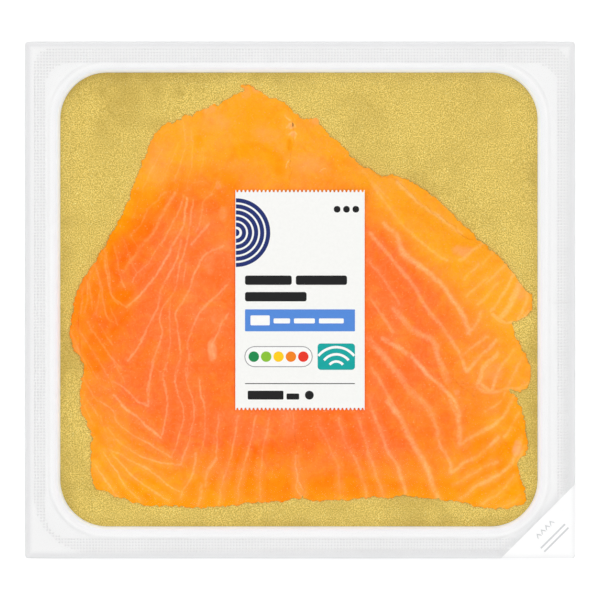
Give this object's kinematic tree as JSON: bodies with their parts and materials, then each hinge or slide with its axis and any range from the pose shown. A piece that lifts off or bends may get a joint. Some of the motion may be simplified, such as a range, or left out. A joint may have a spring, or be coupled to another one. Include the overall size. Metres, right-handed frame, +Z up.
{
  "type": "pack of smoked salmon",
  "caption": "Flat square food pack: thin smoked salmon slices on a gold board in a shallow plastic tray under clear film, with a paper label and a peel corner.",
  "frame": {"origin": "on the surface that the pack lies on, under the middle of its outline", "axes": "+X to the right of the label, +Y to the head of the label, +Z up out of the film"},
  "size_m": [0.2, 0.188, 0.008],
  "materials": {
    "tray_plastic": "satin",
    "gold_board": "metallic foil",
    "salmon": "moist flesh",
    "clear_film": "clear gloss",
    "label_paper": "matte",
    "peel_plastic": "satin"
  },
  "bodies": {
    "root": {"tray": "tray_plastic", "gold_board": "gold_board", "slice_left_under": "salmon", "slice_right_under": "salmon", "slice_left": "salmon", "slice_right": "salmon", "top_film": "clear_film", "label": "label_paper", "peel_corner": "peel_plastic"}
  },
  "joints": []
}
